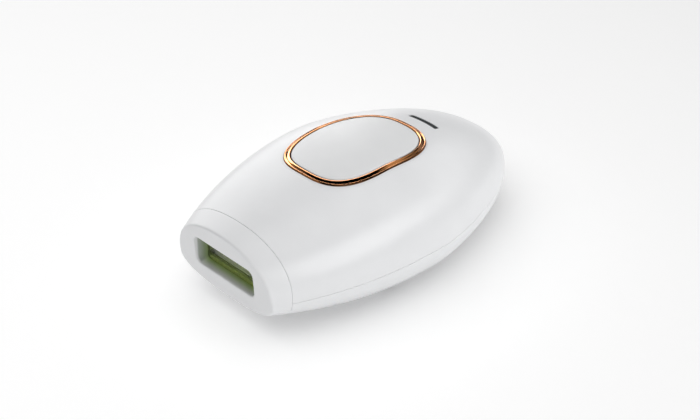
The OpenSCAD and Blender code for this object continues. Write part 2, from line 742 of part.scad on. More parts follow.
module frame_screws() color([0.6, 0.6, 0.62])
  for (p = frame_screw_places)
    at(p[0], p[1], seam_front - 0.1) mirror([0, 0, 1]) screw(0.85, 5.5, 1.9, 1.3);

module board_screws() color([0.6, 0.6, 0.62])
  for (p = board_screw_places)
    at(p[0], p[1], board_top + 1.35) mirror([0, 0, 1]) screw(0.85, 4.5, 1.7, 1.3);

module button_frame_screws() color([0.6, 0.6, 0.62])
  for (p = button_screw_places)
    at(p[0], p[1], frame_plate_z - 1.35) screw(0.85, 2.4, 1.9, 1.3);

module control_board_screws() color([0.6, 0.6, 0.62])
  for (p = control_screw_places)
    at(p[0], p[1], control_z - 1.35) screw(0.85, 4, 1.9, 1.3);

/* ---- wires: x, station, height ---- */
dc_route = [
  [-3, 111.4, 15.9], [-3, 107, 17.2], [-3, 101, 17.6], [-3, 97.4, 16], [-3, 96.5, 13], [-3, 96.5, 8.8]
];
fan_route = [
  [13, 55.1, 12], [13.4, 55.6, 13], [14, 57.4, 15.6], [14, 59.4, 16.4], [14, 60, 14], [14, 60, 8.8]
];
lamp_route = [[-16.6, 42.6, 19.6], [-17.5, 46, 18], [-20, 51, 14], [-21.5, 55.5, 10.5], [-21.5, 57, 8.5]];
module leads(route, r, gap, count)
  for (i = [0:count - 1])
    tube([for (q = smooth(placed(route), 3)) q + [gap * (i - (count - 1) / 2), 0, 0]], r, 6, [1, 0, 0.01]);
module dc_leads() color([0.7, 0.1, 0.1]) leads(dc_route, 0.6, 1.6, 2);
module fan_leads() color([0.1, 0.1, 0.1]) leads(fan_route, 0.45, 1.2, 2);
module lamp_leads() color([0.85, 0.85, 0.85]) leads(lamp_route, 0.55, 1.4, 3);
// The ribbon's points are station and height; it joins the two boards
ribbon_route = [[96.5, 24.55], [96.5, 20.5], [94, 17.6], [90, 16.6], [88.2, 14], [88.1, 10.15]];
ribbon_t = 0.8;
function ribbon_side(p, d) = [for (i = [0:len(p) - 1])
  let (t = unit(p[min(i + 1, len(p) - 1)] - p[max(i - 1, 0)])) p[i] + d * [-t[1], t[0]]];
module board_ribbon() color([0.7, 0.7, 0.7]) {
  p = smooth([for (q = ribbon_route) [y0 + q[0], q[1]]], 4);
  translate([ribbon_x, 0, 0]) rotate([90, 0, 90]) linear_extrude(height = 7, center = true)
    polygon(concat(ribbon_side(p, ribbon_t / 2), reversed(ribbon_side(p, -ribbon_t / 2))));
}

upper_shell();
lower_shell();
trim_ring();
button_cap();
button_frame();
button_springs();
indicator_window();
light_pipe();
indicator_leds();
control_board();
switch_body();
switch_plunger();
nozzle_housing();
filter_glass();
window_seal();
flash_lamp();
lamp_electrodes();
trigger_wire();
lamp_reflector();
lamp_holder();
contact_pins();
contact_socket();
head_frame();
main_board();
flash_capacitor();
transformer_core();
transformer_coil();
trigger_coil();
trigger_capacitor();
small_capacitors();
board_chips();
wire_headers();
power_transistor();
heat_sink();
fan_housing();
fan_rotor();
dc_jack_body();
dc_jack_pin();
shell_screws();
frame_screws();
board_screws();
button_frame_screws();
control_board_screws();
dc_leads();
fan_leads();
lamp_leads();
board_ribbon();
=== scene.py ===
"""Looks of the IPL hair remover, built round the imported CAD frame.

Lengths named here are in millimetres, and mesh code turns them into metres at the end.
A station s runs along the body from the front rim (0) to the rear tip, as in the CAD part.
"""

import json  # noqa: E402
import math  # noqa: E402

import bmesh  # noqa: E402
import bpy  # noqa: E402
import numpy as np  # noqa: E402
from mathutils import Matrix, Vector  # noqa: E402

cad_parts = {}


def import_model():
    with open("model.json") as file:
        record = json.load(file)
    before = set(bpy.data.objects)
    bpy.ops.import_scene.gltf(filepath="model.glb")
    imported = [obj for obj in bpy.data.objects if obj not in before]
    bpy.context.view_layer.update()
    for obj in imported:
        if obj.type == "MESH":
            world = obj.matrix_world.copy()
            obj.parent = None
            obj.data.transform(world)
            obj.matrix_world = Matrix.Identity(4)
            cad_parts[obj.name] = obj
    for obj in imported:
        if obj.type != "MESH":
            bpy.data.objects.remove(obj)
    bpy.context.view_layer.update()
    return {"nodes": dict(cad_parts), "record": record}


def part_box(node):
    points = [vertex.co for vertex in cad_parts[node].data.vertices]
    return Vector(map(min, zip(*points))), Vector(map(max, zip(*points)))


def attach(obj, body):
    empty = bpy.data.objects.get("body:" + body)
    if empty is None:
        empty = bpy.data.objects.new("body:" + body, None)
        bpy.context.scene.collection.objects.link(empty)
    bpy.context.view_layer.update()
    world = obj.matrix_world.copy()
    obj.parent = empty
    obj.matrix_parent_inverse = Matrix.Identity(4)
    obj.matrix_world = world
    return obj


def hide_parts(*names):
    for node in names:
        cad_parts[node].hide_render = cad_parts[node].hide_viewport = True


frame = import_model()

MM = 0.001

# ---------------------------------------------------------------- driving dimensions
BODY_L, BODY_W, BODY_H = 128.0, 80.0, 42.5
WIDEST_S, HIGHEST_S, BELLY_S = 65.4, 58.6, 55.7
NOZZLE_W, NOZZLE_TOP, NOZZLE_BOTTOM = 48.0, 32.6, 7.3
SEAM_FRONT, SEAM_MIDDLE, SEAM_REAR = 15.4, 16.7, 15.9
PLAN_FRONT, PLAN_REAR, PLAN_ROOT = 2.29, 1.37, 2.31
TOP_FRONT, TOP_REAR, TOP_ROOT = 1.6, 1.42, 2.1
BELLY_FRONT, BELLY_REAR, BELLY_DIP = 1.72, 2.2, 0.5
UPPER_POWER, LOWER_POWER = 2.3, 2.54
WALL, SEAM_GAP = 2.0, 0.15
LEAN_Z, FACE_LEAN, JOINT_LEAN = 12.8, math.radians(3.75), math.radians(2.6)
JOINT_S = 5.6
WINDOW_W, WINDOW_H, WINDOW_R, RECESS = 29.9, 10.7, 2.4, 3.6
RECESS_TAPER_W, RECESS_TAPER_H = 3.6, 0.8
SLEEVE_W, SLEEVE_H, SLEEVE_R, SLEEVE_END = 42.0, 18.0, 6.5, 34.0
BUTTON_S, RING_W, RING_L, RING_BAND = 60.8, 37.7, 52.0, 2.3
RING_FRONT, RING_REAR = 2.9, 2.65
BUTTON_RISE = 0.7
SLIT_S, SLIT_W, SLIT_L, SLIT_BEND = 95.2, 13.5, 2.3, 46.0
INLET_RIM_R = 5.2
# x, station and height of the seat of each shell screw
SHELL_SCREWS = [(-27, 50, 5.5), (27, 50, 5.5), (-17, 106, 8.2), (17, 106, 8.2)]
BOSS_R, WELL_R, SCREW_HOLE_R = 3.4, 2.4, 1.25
# side by side distance and half width of the air slots in the belly
INLET_PITCH, INLET_SLOT_R = 4.2, 0.9
OUTLET_PITCH, OUTLET_SLOT_R = 5.0, 0.8
# heights between which the belly's cutters reach
CUT_LOW, CUT_HIGH = -1.0, 10.0


def box_mm(node):
    """Lowest and highest corner of a CAD node, in millimetres."""
    low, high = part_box(node)
    return np.array(low) / MM, np.array(high) / MM


# the filter's front face fixes station 0, and its middle fixes the window's height
glass_low, glass_high = box_mm("filter_glass")
Y0 = glass_low[1] - (RECESS + 0.05)
WINDOW_Z = (glass_low[2] + glass_high[2]) / 2


# ---------------------------------------------------------------- outline of the body
def part_way(s, start, end):
    return np.clip((s - start) / (end - start), 0.0, 1.0)


def half_width(s, g=0.0):
    """Half width at station s of a form that lies g inside the outer surface."""
    half = BODY_W / 2
    ahead = np.maximum((WIDEST_S - s) / WIDEST_S, 0.0)
    front = half - g - (half - NOZZLE_W / 2) * ahead**PLAN_FRONT
    rear = (half - g) * (1 - part_way(s, WIDEST_S, BODY_L - g) ** PLAN_REAR) ** (1 / PLAN_ROOT)
    return np.where(s < WIDEST_S, front, rear)


def seam_height(s):
    u = s / BODY_L
    front = (1 - u) * (1 - 2 * u) * SEAM_FRONT
    return front + 4 * u * (1 - u) * SEAM_MIDDLE + u * (2 * u - 1) * SEAM_REAR


def top_height(s, g=0.0):
    ahead = np.maximum((HIGHEST_S - s) / HIGHEST_S, 0.0)
    front = BODY_H - g - (BODY_H - NOZZLE_TOP) * ahead**TOP_FRONT
    bend = (1 - part_way(s, HIGHEST_S, BODY_L - g) ** TOP_REAR) ** (1 / TOP_ROOT)
    return np.where(s < HIGHEST_S, front, SEAM_REAR + (BODY_H - g - SEAM_REAR) * bend)


def belly_height(s, g=0.0):
    ahead = np.maximum((BELLY_S - s) / BELLY_S, 0.0)
    front = g - BELLY_DIP + (NOZZLE_BOTTOM + BELLY_DIP) * ahead**BELLY_FRONT
    bend = (1 - part_way(s, BELLY_S, BODY_L - g) ** BELLY_REAR) ** (1 / BELLY_REAR)
    return np.where(s < BELLY_S, front, SEAM_REAR - (SEAM_REAR + BELLY_DIP - g) * bend)


def bent(v, power):
    return np.sign(v) * np.abs(v) ** (2 / power)


def section(s, a, g=0.0):
    """x and z of the body at station s and angle a in radians.

    An angle of 0 is the right seam, and a quarter turn is the top.
    """
    c, q, z = np.cos(a), np.sin(a), seam_height(s)
    upper = q >= 0
    x = half_width(s, g) * np.where(upper, bent(c, UPPER_POWER), bent(c, LOWER_POWER))
    rise = (top_height(s, g) - z) * np.abs(q) ** (2 / UPPER_POWER)
    drop = (z - belly_height(s, g)) * np.abs(q) ** (2 / LOWER_POWER)
    return x, np.where(upper, z + rise, np.maximum(g, z - drop))


def surface_height(x, s):
    z = seam_height(s)
    r = np.minimum(1.0, np.abs(x) / half_width(s))
    return z + (top_height(s) - z) * (1 - r**UPPER_POWER) ** (1 / UPPER_POWER)


def underside_height(x, s):
    z = seam_height(s)
    r = np.minimum(1.0, np.abs(x) / half_width(s))
    return np.maximum(0.0, z - (z - belly_height(s)) * (1 - r**LOWER_POWER) ** (1 / LOWER_POWER))


def on_plane(a, plane_s, lean, g=0.0):
    """Station where the outline at angle a meets a leaning plane through plane_s."""
    s = np.full_like(a, plane_s)
    for _ in range(6):
        s = plane_s + math.tan(lean) * (section(s, a, g)[1] - LEAN_Z)
    return s


def on_inlet_rim(a, radius):
    """Station where the outline at angle a comes within a radius of the inlet's axis."""
    low, high = np.full_like(a, BODY_L - 12.0), np.full_like(a, BODY_L - 0.001)
    for _ in range(40):
        mid = (low + high) / 2
        x, z = section(mid, a)
        outside = np.hypot(x, z - SEAM_REAR) > radius
        low, high = np.where(outside, mid, low), np.where(outside, high, mid)
    return (low + high) / 2


# ---------------------------------------------------------------- mesh helpers
def add_object(name, points, faces, smooth_angle=30.0):
    """A mesh object from points in millimetres."""
    mesh = bpy.data.meshes.new(name)
    mesh.from_pydata([tuple(p) for p in np.asarray(points) * MM], [], faces)
    mesh.validate()
    piece = bpy.data.objects.new(name, mesh)
    bpy.context.scene.collection.objects.link(piece)
    recalculate(mesh)
    shade(mesh, smooth_angle)
    return piece


def recalculate(mesh):
    """Points every face outwards."""
    work = bmesh.new()
    work.from_mesh(mesh)
    bmesh.ops.recalc_face_normals(work, faces=work.faces)
    work.to_mesh(mesh)
    work.free()


def shade(mesh, angle):
    mesh.shade_smooth()
    mesh.set_sharp_from_angle(angle=math.radians(angle))


def loft(name, rows, close_rows=False, first=None, last=None, smooth_angle=30.0):
    """Skins rows of points, each a closed loop. first and last are the middles of closing fans."""
    rows = [np.asarray(r, float) for r in rows]
    count, size = len(rows), len(rows[0])
    faces = []
    for i in range(count if close_rows else count - 1):
        a, b = i * size, (i + 1) % count * size
        for j in range(size):
            k = (j + 1) % size
            faces.append((a + j, a + k, b + k, b + j))
    points = np.concatenate(rows)
    for middle, start in ((first, 0), (last, (count - 1) * size)):
        if middle is not None:
            points = np.vstack([points, middle])
            tip = len(points) - 1
            faces += [(start + j, tip, start + (j + 1) % size) for j in range(size)]
    return add_object(name, points, faces, smooth_angle)


def cut(piece, cutters, operation="DIFFERENCE", smooth_angle=30.0):
    """Cuts pieces out of a piece, or joins them to it, and removes them."""
    for tool in cutters:
        change = piece.modifiers.new("cut", "BOOLEAN")
        change.operation, change.object, change.solver = operation, tool, "MANIFOLD"
    graph = bpy.context.evaluated_depsgraph_get()
    mesh = bpy.data.meshes.new_from_object(piece.evaluated_get(graph))
    piece.modifiers.clear()
    piece.data = mesh
    shade(mesh, smooth_angle)
    for tool in cutters:
        bpy.data.objects.remove(tool)
    return piece


def rounded_rectangle(a, w, h, r):
    """Points of a rounded rectangle at angles a, where a corner lies at each odd eighth of a turn."""
    c, q = np.cos(a), np.sin(a)
    big = np.maximum(np.abs(c), np.abs(q))
    p = np.stack([c / big * w / 2, q / big * h / 2], -1)
    core = np.clip(p, [-w / 2 + r, -h / 2 + r], [w / 2 - r, h / 2 - r])
    out = p - core
    return core + r * out / np.linalg.norm(out, axis=1, keepdims=True)


def prism(name, outline, low, high):
    """An upright prism over an outline of x and y, from height low to height high."""
    rows = [np.column_stack([outline, np.full(len(outline), z)]) for z in (low, high)]
    ends = [np.append(outline.mean(0), z) for z in (low, high)]
    return loft(name, rows, first=ends[0], last=ends[1])


# ---------------------------------------------------------------- shells
SHELL_STEPS = 256
EDGE_R = 0.1
LIP_H = 1.4
EDGE_TURNS = [math.radians(d) for d in (0, 22, 45, 68, 90)]


def shell_point(turn, reach, hole, sign, g):
    """A point of a shell: turn goes round it, and reach runs from the hole (0) to the outer edge (1).

    sign is 1 for the upper shell and -1 for the lower. hole gives the inner outline as x and station.
    """
    c, q = np.cos(turn), np.sin(turn)
    big = np.maximum(np.abs(c), np.abs(q))
    across, along = c / big, q / big
    edge_a = seam_edge_angle()
    a = sign * (math.pi / 2 - across * (math.pi / 2 - edge_a))
    front = on_plane(a, JOINT_S + SEAM_GAP, JOINT_LEAN)
    rear = on_inlet_rim(a, INLET_RIM_R)
    outer_s = BUTTON_S + np.where(along > 0, along * (rear - BUTTON_S), along * (BUTTON_S - front))
    x, s = hole(turn)
    inner_a = sign * np.arccos(bent(np.clip(x / half_width(s), -1, 1), 4 / UPPER_POWER))
    s = s + (outer_s - s) * reach
    a = inner_a + (a - inner_a) * reach
    x, z = section(s, a, g)
    return np.stack([x, Y0 + s, z], -1)


def seam_edge_angle():
    """Angle that keeps half the seam's gap clear of the seam."""
    return math.asin((SEAM_GAP / 2 / (BODY_H - SEAM_MIDDLE)) ** (UPPER_POWER / 2))


def shell(name, sign, hole, outer_rows, inner_rows, lip=False):
    """A shell with rolled edges, as one closed skin round its hole."""
    turn = np.linspace(0, 2 * math.pi, SHELL_STEPS, endpoint=False)
    at_edge = shell_point(turn, 1.0, hole, sign, 0.0)
    span = np.linalg.norm(at_edge - shell_point(turn, 0.9, hole, sign, 0.0), axis=1) / 0.1
    rows = []
    # hole's rolled edge, then the outer surface
    for t in reversed(EDGE_TURNS):
        pull = EDGE_R * (1 - math.cos(math.pi / 2 - t)) / span
        rows.append(shell_point(turn, pull, hole, sign, EDGE_R * (1 - math.cos(t))))
    start, end = EDGE_R / span, 1 - EDGE_R / span
    for u in np.linspace(0, 1, outer_rows)[1:-1]:
        rows.append(shell_point(turn, start + (end - start) * u, hole, sign, 0.0))
    for t in EDGE_TURNS:
        pull = EDGE_R * (1 - math.sin(t)) / span
        rows.append(shell_point(turn, 1 - pull, hole, sign, EDGE_R * (1 - math.cos(t))))
    if lip:
        # lip inside the other shell's edge, along the two sides only
        along = np.abs(np.sin(turn)) / np.abs(np.cos(turn))
        over = 1 + LIP_H / span * np.clip((1 - along) / 0.04, 0, 1)
        rows += [shell_point(turn, 1.0, hole, sign, WALL / 2), shell_point(turn, over, hole, sign, WALL / 2)]
        rows.append(shell_point(turn, over, hole, sign, WALL))
    # inner surface on the way back
    for u in np.linspace(1, 0, inner_rows):
        rows.append(shell_point(turn, np.full_like(turn, u), hole, sign, WALL))
    return loft(name, rows, close_rows=True)


def ring_outline(turn, inset):
    power = np.where(np.sin(turn) < 0, RING_FRONT, RING_REAR)
    x = (RING_W / 2 - inset) * bent(np.cos(turn), power)
    s = BUTTON_S + (RING_L / 2 - inset) * bent(np.sin(turn), power)
    return x, s


def ring_row(turn, inset, rise, scale=1.0):
    """A loop over the top surface, inset from the ring's outer edge."""
    x, s = ring_outline(turn, inset)
    x, s = x * scale, BUTTON_S + (s - BUTTON_S) * scale
    return np.stack([x, Y0 + s, surface_height(x, s) + rise], -1)


def slit_outline(inset, corner):
    """x and station round the bent slit, inset from its outline."""
    turn = np.linspace(0, 2 * math.pi, 96, endpoint=False)
    p = rounded_rectangle(turn, SLIT_W - 2 * inset, SLIT_L - 2 * inset, corner)
    return np.stack([p[:, 0], SLIT_S + p[:, 1] - SLIT_BEND + np.sqrt(SLIT_BEND**2 - p[:, 0] ** 2)], -1)


upper = shell("upper_shell_skin", 1, lambda turn: ring_outline(turn, 0.12), 64, 30)
slit_cutter = prism("slit_cutter", slit_outline(-0.1, 0.4) + [0, Y0], 25, 45)
cut(upper, [slit_cutter])
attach(upper, "handset")
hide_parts("upper_shell")


def belly_dot(turn):
    """A tiny outline in the middle of the belly, where the lower shell's rows start."""
    return 0.4 * np.cos(turn), BUTTON_S + 0.4 * np.sin(turn)


def upright_cylinder(name, place, radius, low, high, steps=48):
    """An upright cylinder at a place given as x and station."""
    a = np.linspace(0, 2 * math.pi, steps, endpoint=False)
    x, s = place
    return prism(name, np.stack([x + radius * np.cos(a), Y0 + s + radius * np.sin(a)], -1), low, high)


def slot_cutter(name, x, start, end, radius, steps=32):
    """An upright slot with round ends between two stations."""
    a = np.linspace(0, 2 * math.pi, steps, endpoint=False)
    s = np.where(np.sin(a) > 0, end, start) + radius * np.sin(a)
    return prism(name, np.stack([x + radius * np.cos(a), Y0 + s], -1), CUT_LOW, CUT_HIGH)


lower = shell("lower_shell_skin", -1, belly_dot, 72, 30, lip=True)
bosses, wells = [], []
for i, (x, s, seat) in enumerate(SHELL_SCREWS):
    boss_low = underside_height(abs(x) + BOSS_R, s) + 0.5
    bosses.append(upright_cylinder("boss_%d" % i, (x, s), BOSS_R, boss_low, seam_height(s)))
    wells.append(upright_cylinder("well_%d" % i, (x, s), WELL_R, CUT_LOW, seat))
    wells.append(upright_cylinder("screw_hole_%d" % i, (x, s), SCREW_HOLE_R, seat - 1, seam_height(s) + 1))
for i in range(-3, 4):
    # the inlet slots get shorter towards the sides
    wells.append(slot_cutter("air_inlet_%d" % i, INLET_PITCH * i, 82, 98 - abs(i), INLET_SLOT_R))
    wells.append(slot_cutter("air_outlet_%d" % i, OUTLET_PITCH * i, 18, 27, OUTLET_SLOT_R))
# plug for the pinhole where the rows start
bosses.append(upright_cylinder("belly_plug", (0, BUTTON_S), 0.6, 0.0, WALL + 0.2))
cut(lower, bosses, "UNION")
cut(lower, wells)
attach(lower, "handset")
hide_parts("lower_shell")


# ---------------------------------------------------------------- lamp head
def nozzle():
    """The white front cap with its window and its plug-in sleeve, as one closed skin."""
    a = np.linspace(0, 2 * math.pi, 192, endpoint=False)
    front = on_plane(a, 0.0, -FACE_LEAN)
    rear = on_plane(a, JOINT_S, JOINT_LEAN)
    rim_r, back_r, rows = 0.55, 0.07, []

    def on_body(share, g):
        s = front + (rear - front) * share
        x, z = section(s, a, g)
        return np.stack([x, Y0 + s, z], -1)

    def on_face(xz, depth):
        x, z = xz[:, 0], xz[:, 1]
        return np.stack([x, Y0 - math.tan(FACE_LEAN) * (z - LEAN_Z) + depth, z], -1)

    def rounded(w, h, r, s):
        p = rounded_rectangle(a, w, h, r)
        return np.stack([p[:, 0], np.full(len(a), Y0 + s), p[:, 1] + WINDOW_Z], -1)

    length = rear - front
    for t in reversed(EDGE_TURNS):
        rows.append(on_body(1 - back_r * (1 - math.sin(t)) / length, back_r * (1 - math.cos(t))))
    for u in np.linspace(1, 0, 12)[1:-1]:
        rows.append(on_body((rim_r + (length - rim_r - back_r) * u) / length, 0.0))
    for t in EDGE_TURNS:
        rows.append(on_body(rim_r * (1 - math.sin(t)) / length, rim_r * (1 - math.cos(t))))
    rim = rows[-1][:, [0, 2]]
    window = rounded_rectangle(a, WINDOW_W + 0.9, WINDOW_H + 0.9, WINDOW_R + 0.4) + [0, WINDOW_Z]
    for u in np.linspace(0, 1, 9)[1:]:
        rows.append(on_face(rim * (1 - u) + window * u, 0.0))
    # light chamfer, then the funnel down to the filter
    for w, depth in ((0.35, 0.12), (0.0, 0.4)):
        p = rounded_rectangle(a, WINDOW_W + w, WINDOW_H + w, WINDOW_R) + [0, WINDOW_Z]
        rows.append(on_face(p, depth))
    edge = rounded_rectangle(a, WINDOW_W, WINDOW_H, WINDOW_R) + [0, WINDOW_Z]
    floor = rounded_rectangle(a, WINDOW_W - RECESS_TAPER_W, WINDOW_H - RECESS_TAPER_H, 1.6) + [0, WINDOW_Z]
    floor_y = Y0 + RECESS
    for u in np.linspace(0, 1, 7)[1:]:
        mouth = on_face(edge, 0.4)
        foot = np.stack([floor[:, 0], np.full(len(a), floor_y), floor[:, 1]], -1)
        rows.append(mouth * (1 - u) + foot * u)
    seat_w, seat_h = WINDOW_W + 2, WINDOW_H + 1.4
    rows.append(rounded(seat_w, seat_h, 1.6, RECESS))
    rows.append(rounded(seat_w, seat_h, 1.6, RECESS + 2.6))
    inner = (SLEEVE_W - 3, SLEEVE_H - 3, SLEEVE_R - 1.5)
    rows += [rounded(*inner, RECESS + 2.6), rounded(*inner, SLEEVE_END - 0.3)]
    rows.append(rounded(SLEEVE_W - 2.4, SLEEVE_H - 2.4, SLEEVE_R - 1.2, SLEEVE_END))
    rows.append(rounded(SLEEVE_W - 0.6, SLEEVE_H - 0.6, SLEEVE_R - 0.3, SLEEVE_END))
    rows.append(rounded(SLEEVE_W, SLEEVE_H, SLEEVE_R, SLEEVE_END - 0.3))
    # a step just under the surface nearly closes the joint behind the nozzle
    rows.append(rounded(SLEEVE_W, SLEEVE_H, SLEEVE_R, JOINT_S))
    for over, depth in ((0, 1.2), (0.11, 1.1), (0.11, 0.15), (0, 0.1)):
        rows.append(on_body(1 + over / length, depth))
    return loft("nozzle_skin", rows, close_rows=True)


head = nozzle()
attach(head, "lamp_head")
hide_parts("nozzle_housing")


def filter_plate():
    """The filter with softly ground edges."""
    a = np.linspace(0, 2 * math.pi, 128, endpoint=False)
    w, h = glass_high[0] - glass_low[0], glass_high[2] - glass_low[2]
    near, far, edge = glass_low[1], glass_high[1], 0.25
    rows = []
    for inset, y in ((edge, near), (0, near + edge), (0, far - edge), (edge, far)):
        p = rounded_rectangle(a, w - 2 * inset, h - 2 * inset, 1.5)
        rows.append(np.stack([p[:, 0], np.full(len(a), y), p[:, 1] + WINDOW_Z], -1))
    return loft("filter_plate", rows, first=(0, near, WINDOW_Z), last=(0, far, WINDOW_Z))


plate = filter_plate()
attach(plate, "lamp_head")
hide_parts("filter_glass")


# ---------------------------------------------------------------- button and ring
def trim_ring():
    """Rose-gold ring with a high inner bead and a low outer bead."""
    turn = np.linspace(0, 2 * math.pi, 288, endpoint=False)
    profile = [(RING_BAND, -1.8), (RING_BAND, 0.0), (RING_BAND - 0.03, 0.2), (RING_BAND - 0.1, 0.33)]
    for d in range(130, 30, -12):
        t = math.radians(d)
        profile.append((1.62 - 0.72 * math.cos(t), 0.05 + 0.55 * math.sin(t)))
    profile += [(0.84, 0.3), (0.74, 0.3)]
    profile += [(0.62, 0.4), (0.5, 0.46), (0.4, 0.47), (0.3, 0.43), (0.18, 0.3), (0.09, 0.14), (0.04, 0.0)]
    profile += [(0.04, -0.4), (1.3, -0.4), (1.3, -1.8)]
    rows = [ring_row(turn, inset, rise) for inset, rise in profile]
    return loft("trim_ring_beads", rows, close_rows=True, smooth_angle=40)


ring = trim_ring()
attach(ring, "handset")
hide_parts("trim_ring")


def button():
    """The domed button panel with a rounded edge and a skirt."""
    turn = np.linspace(0, 2 * math.pi, 256, endpoint=False)
    edge, round_r, dome = RING_BAND + 0.25, 0.3, 0.45
    rim = BUTTON_RISE - 0.25
    rows = []
    for scale in np.linspace(0.03, 1, 26):
        crown = rim + dome * (1 - scale**2)
        rows.append(ring_row(turn, edge + round_r, crown, scale))
    for t in EDGE_TURNS[1:]:
        rows.append(ring_row(turn, edge + round_r * (1 - math.sin(t)), rim - round_r * (1 - math.cos(t))))
    rows += [ring_row(turn, edge, -2.0), ring_row(turn, edge + 1.3, -2.0)]
    rows += [ring_row(turn, edge + 1.3, -0.6)]
    rows += [ring_row(turn, edge + 1.3, -0.3, scale) for scale in (0.9, 0.6, 0.3, 0.03)]
    middle = np.array([0, Y0 + BUTTON_S, float(surface_height(0.0, BUTTON_S))])
    return loft("button_panel", rows, first=middle + [0, 0, rim + dome], last=middle - [0, 0, 0.3])


panel = button()
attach(panel, "button")
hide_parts("button_cap")


def slit_lens():
    """The smoked lens in the indicator slit, just under flush."""
    low = box_mm("indicator_window")[0][2]
    rows = []
    for inset, drop in ((0.7, 0.1), (0.25, 0.1), (0.08, 0.14), (0, 0.28), (0, None)):
        x, s = slit_outline(inset, 0.35).T
        z = np.full_like(x, low) if drop is None else surface_height(x, s) - drop
        rows.append(np.stack([x, Y0 + s, z], -1))
    middle = [0, Y0 + SLIT_S, float(surface_height(0.0, SLIT_S)) - 0.08]
    return loft("slit_lens", rows, first=middle, last=(0, Y0 + SLIT_S, low))


lens = slit_lens()
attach(lens, "handset")
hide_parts("indicator_window")


# ---------------------------------------------------------------- materials
def material(name):
    made = bpy.data.materials.new(name)
    made.use_nodes = True
    tree = made.node_tree
    return made, tree, tree.nodes["Principled BSDF"]


def node(tree, kind, inputs=None, **settings):
    made = tree.nodes.new(kind)
    for key, value in settings.items():
        setattr(made, key, value)
    for key, value in (inputs or {}).items():
        if isinstance(value, bpy.types.NodeSocket):
            tree.links.new(value, made.inputs[key])
        else:
            made.inputs[key].default_value = value
    return made


def noise(tree, size_mm, detail=3.0, roughness=0.5):
    """Noise whose blobs are about size_mm across, in the object's own frame."""
    place = node(tree, "ShaderNodeTexCoord")
    inputs = {"Vector": place.outputs["Object"], "Scale": 1 / (size_mm * MM)}
    inputs.update({"Detail": detail, "Roughness": roughness})
    return node(tree, "ShaderNodeTexNoise", inputs).outputs["Fac"]


def spread(tree, value, low, high):
    """Maps a noise's middle range to low..high."""
    inputs = {"Value": value, "From Min": 0.3, "From Max": 0.7, "To Min": low, "To Max": high}
    return node(tree, "ShaderNodeMapRange", inputs).outputs["Result"]


def tint(tree, value, dark, light):
    """Mixes two colours by a value between 0 and 1."""
    mix = node(tree, "ShaderNodeMix", data_type="RGBA")
    tree.links.new(value, mix.inputs["Factor"])
    mix.inputs["A"].default_value = (*dark, 1)
    mix.inputs["B"].default_value = (*light, 1)
    return mix.outputs["Result"]


def bump(tree, height, depth_mm, strength=1.0):
    inputs = {"Height": height, "Distance": depth_mm * MM, "Strength": strength}
    return node(tree, "ShaderNodeBump", inputs).outputs["Normal"]


def moulded(name, colour, rough, grain_mm=0.25, grain_depth=0.002, vary=0.012, specular=0.5):
    """Moulded plastic: a faint mottle in colour and gloss, and a fine surface grain."""
    made, tree, shader = material(name)
    mottle = spread(tree, noise(tree, 9.0), 0.0, 1.0)
    light = tuple(min(1.0, c * (1 + vary)) for c in colour)
    dark = tuple(c * (1 - vary) for c in colour)
    tree.links.new(tint(tree, mottle, dark, light), shader.inputs["Base Color"])
    gloss = spread(tree, noise(tree, 2.5, 4.0), rough * 0.9, rough * 1.1)
    tree.links.new(gloss, shader.inputs["Roughness"])
    if grain_depth:
        tree.links.new(bump(tree, noise(tree, grain_mm, 2.0), grain_depth), shader.inputs["Normal"])
    shader.inputs["Specular IOR Level"].default_value = specular
    return made


def metal(name, colour, rough, brush_mm=None, coat=0.0):
    """Metal with a faint uneven polish, with blobs brush_mm across if it is given."""
    made, tree, shader = material(name)
    shader.inputs["Metallic"].default_value = 1.0
    shader.inputs["Coat Weight"].default_value = coat
    cloud = spread(tree, noise(tree, 4.0), 0.0, 1.0)
    dark = tuple(c * 0.94 for c in colour)
    tree.links.new(tint(tree, cloud, dark, colour), shader.inputs["Base Color"])
    wear = noise(tree, brush_mm or 1.5, 4.0)
    tree.links.new(spread(tree, wear, rough * 0.8, rough * 1.25), shader.inputs["Roughness"])
    tree.links.new(bump(tree, wear, 0.002), shader.inputs["Normal"])
    return made


def paint(piece, made):
    piece.data.materials.clear()
    piece.data.materials.append(made)


def within(tree, value, middle, half):
    """1 where a value lies within half of a middle, otherwise 0."""
    inputs = {0: value, 1: middle, 2: half}
    return node(tree, "ShaderNodeMath", inputs, operation="COMPARE").outputs[0]


